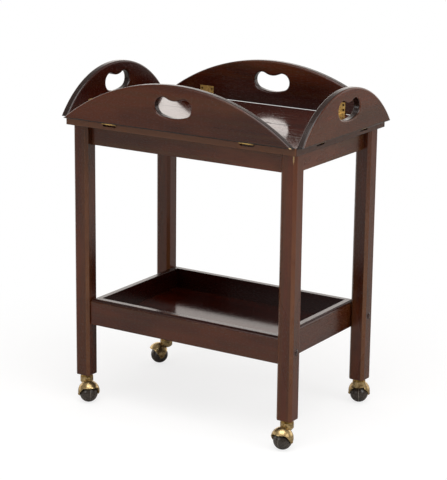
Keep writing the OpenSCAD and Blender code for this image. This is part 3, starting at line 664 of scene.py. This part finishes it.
def lowered(tree, geometry, depth):
    down = add(tree, "ShaderNodeCombineXYZ", {"Z": maths(tree, "MULTIPLY", depth, -1.0)}).outputs[0]
    return add(tree, "GeometryNodeTransform", {"Geometry": geometry, "Translation": down}).outputs[0]


def slotted_head(tree, given):
    cone = add(tree, "GeometryNodeMeshCone", {
        "Vertices": HEAD_SIDES, "Depth": given["Head Height"],
        "Radius Top": maths(tree, "MULTIPLY", given["Head Diameter"], 0.5),
        "Radius Bottom": maths(tree, "MULTIPLY", given["Shank Diameter"], 0.5)})
    head = lowered(tree, cone.outputs["Mesh"], given["Head Height"])
    size = add(tree, "ShaderNodeCombineXYZ", {
        "X": maths(tree, "MULTIPLY", given["Head Diameter"], 2.0), "Y": given["Slot Width"],
        "Z": maths(tree, "MULTIPLY", given["Slot Depth"], 2.0)})
    slot = add(tree, "GeometryNodeMeshCube", {"Size": size.outputs[0]})
    return add(tree, "GeometryNodeMeshBoolean", {"Mesh 1": head, "Mesh 2": slot.outputs["Mesh"]},
               operation="DIFFERENCE").outputs[0]


def shank(tree, given):
    length = maths(tree, "SUBTRACT", given["Length"], given["Head Height"])
    rod = add(tree, "GeometryNodeMeshCylinder", {
        "Vertices": SHANK_SIDES, "Depth": length,
        "Radius": maths(tree, "MULTIPLY", given["Shank Diameter"], 0.5)})
    middle = maths(tree, "ADD", given["Head Height"], maths(tree, "MULTIPLY", length, 0.5))
    return lowered(tree, rod.outputs["Mesh"], middle)


def slotted_screws():
    tree = bpy.data.node_groups.new("slotted_screws", "GeometryNodeTree")
    tree.interface.new_socket("Geometry", in_out="INPUT", socket_type=GEOMETRY)
    for name, size in SCREW_SIZES.items():
        tree.interface.new_socket(name, in_out="INPUT", socket_type=FLOAT).default_value = size
    for name, kind in (("Facing", VECTOR), ("Seed", "NodeSocketInt"), ("Finish", "NodeSocketMaterial")):
        tree.interface.new_socket(name, in_out="INPUT", socket_type=kind)
    given = tree.nodes.new("NodeGroupInput").outputs
    screw = add(tree, "GeometryNodeJoinGeometry")
    for part in (slotted_head(tree, given), shank(tree, given)):
        link(tree, part, screw.inputs[0])
    aligned = add(tree, "FunctionNodeAlignRotationToVector", {"Vector": given["Facing"]}, axis="Z")
    angle = add(tree, "FunctionNodeRandomValue", {DRAW_MOST: math.pi, "Seed": given["Seed"]},
                data_type="FLOAT")
    spin = add(tree, "FunctionNodeAxisAngleToRotation", {"Angle": angle.outputs[DRAW_RESULT]})
    turned = add(tree, "FunctionNodeRotateRotation",
                 {"Rotation": aligned.outputs[0], "Rotate By": spin.outputs[0]}, rotation_space="LOCAL")
    set_out = add(tree, "GeometryNodeInstanceOnPoints", {
        "Points": given["Geometry"], "Instance": screw.outputs[0], "Rotation": turned.outputs[0]})
    real = add(tree, "GeometryNodeRealizeInstances", {"Geometry": set_out.outputs[0]})
    finished = add(tree, "GeometryNodeSetMaterial", {
        "Geometry": real.outputs[0], "Material": given["Finish"]})
    return give_out(tree, ("Geometry", GEOMETRY, finished.outputs[0]))


# How far a side's two hinges stand from its middle, where the screws stand on a leaf, and where an upright
# flap's inner face lies, counted outwards from the top's edge
HINGE_APART = {"front": 0.185, "back": 0.185, "left": 0.100, "right": 0.100}
SCREW_NEAR, SCREW_FAR, SCREW_ASIDE = 0.0095, 0.022, 0.014
FLAP_FACE = -0.00175


# Where the heads of the screws lie in a side's two leaves, in its flap or in the top
def leaf_screw_places(side, in_flap):
    outward = OUTWARD[side]
    along = UP.cross(outward)
    edge = outward * abs(outward.dot(TOP_CORNER)) + UP * TOP_CORNER.z
    places = []
    for hinge in (-HINGE_APART[side], HINGE_APART[side]):
        for away in (SCREW_NEAR, SCREW_FAR):
            for aside in (-SCREW_ASIDE, SCREW_ASIDE):
                inward = outward * FLAP_FACE + UP * away if in_flap else outward * -away
                places.append(edge + along * (hinge + aside) + inward)
    return places


def set_screws(tree, name, node, body, places, facing, seed, finish):
    mesh = bpy.data.meshes.new(name)
    mesh.from_pydata([tuple(place) for place in places], [], [])
    screws = bpy.data.objects.new(name, mesh)
    bpy.context.scene.collection.objects.link(screws)
    modifier = screws.modifiers.new("screws", "NODES")
    modifier.node_group = tree
    keys = {item.name: item.identifier for item in tree.interface.items_tree if item.in_out == "INPUT"}
    modifier[keys["Facing"]] = tuple(facing)
    modifier[keys["Seed"]] = seed
    modifier[keys["Finish"]] = finish
    ready = bpy.context.evaluated_depsgraph_get()
    baked = bpy.data.meshes.new_from_object(screws.evaluated_get(ready), depsgraph=ready)
    baked.name = name
    screws.modifiers.clear()
    screws.data = baked
    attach(screws, body)
    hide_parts(node)


def make_hinge_screws():
    tree = slotted_screws()
    finish = brass("screw_browned", bright=(0.20, 0.115, 0.045), brown=(0.060, 0.030, 0.014), tarnish=0.60,
                   edge=0.0002)
    places = [place for side in SIDES for place in leaf_screw_places(side, False)]
    set_screws(tree, "hinge_screws_top", "top_hinge_screws", "base", places, UP, 3, finish)
    for number, side in enumerate(SIDES):
        places = leaf_screw_places(side, True)
        set_screws(tree, "hinge_screws_" + side, "flap_hinge_screws_" + side, "flap_" + side, places,
                   -OUTWARD[side], 11 + number, finish)


# Studio floor

FLOOR_RADIUS, FLOOR_SIDES = 9, 96

# The camera sees it pale, with the trolley's shadow, and fading into white. From below it isn't there.
SHADE_TONE, SHADE_GLOW = (0.27, 0.27, 0.27), 0.76
WHITE_FROM, WHITE_BY = 0.42, 1.15

# To the rest of the light it is a plain floor that grows paler away from the trolley
BOUNCE_NEAR, BOUNCE_FAR = (0.56, 0.545, 0.525), (0.86, 0.84, 0.81)
PALER_FROM, PALER_BY = 0.7, 2.4


def mixed(tree, share, first, second):
    return add(tree, "ShaderNodeMixShader", {0: share, 1: first, 2: second}).outputs[0]


def floor_material():
    material = bpy.data.materials.new("floor_white")
    material.use_nodes = True
    tree = material.node_tree
    tree.nodes.clear()
    away = vector_maths(tree, "LENGTH", add(tree, "ShaderNodeTexCoord").outputs["Object"])
    shaded = add(tree, "ShaderNodeAddShader", {
        0: add(tree, "ShaderNodeBsdfDiffuse", {"Color": SHADE_TONE}).outputs[0],
        1: add(tree, "ShaderNodeEmission", {"Strength": SHADE_GLOW}).outputs[0]})
    white = add(tree, "ShaderNodeEmission").outputs[0]
    shown = mixed(tree, spread(tree, away, WHITE_FROM, WHITE_BY), shaded.outputs[0], white)
    bounce = blend(tree, spread(tree, away, PALER_FROM, PALER_BY), BOUNCE_NEAR, BOUNCE_FAR)
    plain = add(tree, "ShaderNodeBsdfDiffuse", {"Color": bounce}).outputs[0]
    seen = add(tree, "ShaderNodeLightPath").outputs["Is Camera Ray"]
    from_below = maths(tree, "MULTIPLY", add(tree, "ShaderNodeNewGeometry").outputs["Backfacing"], seen)
    clear = add(tree, "ShaderNodeBsdfTransparent").outputs[0]
    surface = mixed(tree, from_below, mixed(tree, seen, plain, shown), clear)
    add(tree, "ShaderNodeOutputMaterial", {"Surface": surface})
    return material


def make_floor():
    mesh = bmesh.new()
    bmesh.ops.create_circle(mesh, cap_ends=True, segments=FLOOR_SIDES, radius=FLOOR_RADIUS)
    data = bpy.data.meshes.new("studio_floor")
    mesh.to_mesh(data)
    mesh.free()
    data.materials.append(floor_material())
    floor = bpy.data.objects.new("studio_floor", data)
    bpy.context.scene.collection.objects.link(floor)


# Studio room

# How bright it is in front of the trolley, behind it and overhead, which way the backdrop lies, and between
# which shares of facing it or facing up the brightness changes. The camera sees plain white.
ROOM_FRONT, ROOM_BACK, ROOM_ABOVE = 0.05, 1.75, 0.36
BACKDROP_WAY = (-0.536, 0.844, 0.0)
BACKDROP_FROM, BACKDROP_BY = -0.10, 0.60
OVERHEAD_FROM, OVERHEAD_BY = 0.30, 0.58
ROOM_TONE, ROOM_WHITE = (1.0, 0.945, 0.90), (1, 1, 1)


def make_world():
    world = bpy.data.worlds.new("studio")
    bpy.context.scene.world = world
    world.use_nodes = True
    tree = world.node_tree
    tree.nodes.clear()
    way = add(tree, "ShaderNodeTexCoord").outputs["Generated"]
    facing = vector_maths(tree, "DOT_PRODUCT", way, BACKDROP_WAY)
    backdrop = spread(tree, facing, BACKDROP_FROM, BACKDROP_BY, ROOM_FRONT, ROOM_BACK)
    overhead = spread(tree, split(tree, way)[2], OVERHEAD_FROM, OVERHEAD_BY)
    ceiling = maths(tree, "MULTIPLY", maths(tree, "SUBTRACT", ROOM_ABOVE, backdrop), overhead)
    room = add(tree, "ShaderNodeBackground", {
        "Color": ROOM_TONE, "Strength": maths(tree, "ADD", backdrop, ceiling)}).outputs[0]
    white = add(tree, "ShaderNodeBackground", {"Color": ROOM_WHITE}).outputs[0]
    seen = add(tree, "ShaderNodeLightPath").outputs["Is Camera Ray"]
    add(tree, "ShaderNodeOutputWorld", {"Surface": mixed(tree, seen, room, white)})


def make_lamp(name, place, target_height, size, watts):
    lamp = bpy.data.objects.new(name, bpy.data.lights.new(name, "AREA"))
    lamp.data.shape = "RECTANGLE"
    lamp.data.size, lamp.data.size_y = size
    lamp.data.energy = watts
    lamp.location = place
    lamp.rotation_mode = "QUATERNION"
    lamp.rotation_quaternion = (UP * target_height - Vector(place)).to_track_quat("-Z", "Y")
    bpy.context.scene.collection.objects.link(lamp)


def make_studio():
    bpy.context.scene.view_settings.view_transform = "Standard"
    make_floor()
    make_world()
    make_lamp("right_softbox", place=(2.6, -0.2, 1.6), target_height=0.45, size=(1.2, 1.4), watts=23)
    make_lamp("front_softbox", place=(-1.0, -3.2, 1.5), target_height=0.45, size=(1.6, 1.2), watts=16)
    make_lamp("top_softbox", place=(0.5, -0.9, 2.8), target_height=0.4, size=(2.3, 2.2), watts=53)


make_camera()
dress_woodwork()
dress_fittings()
make_hinge_screws()
make_studio()
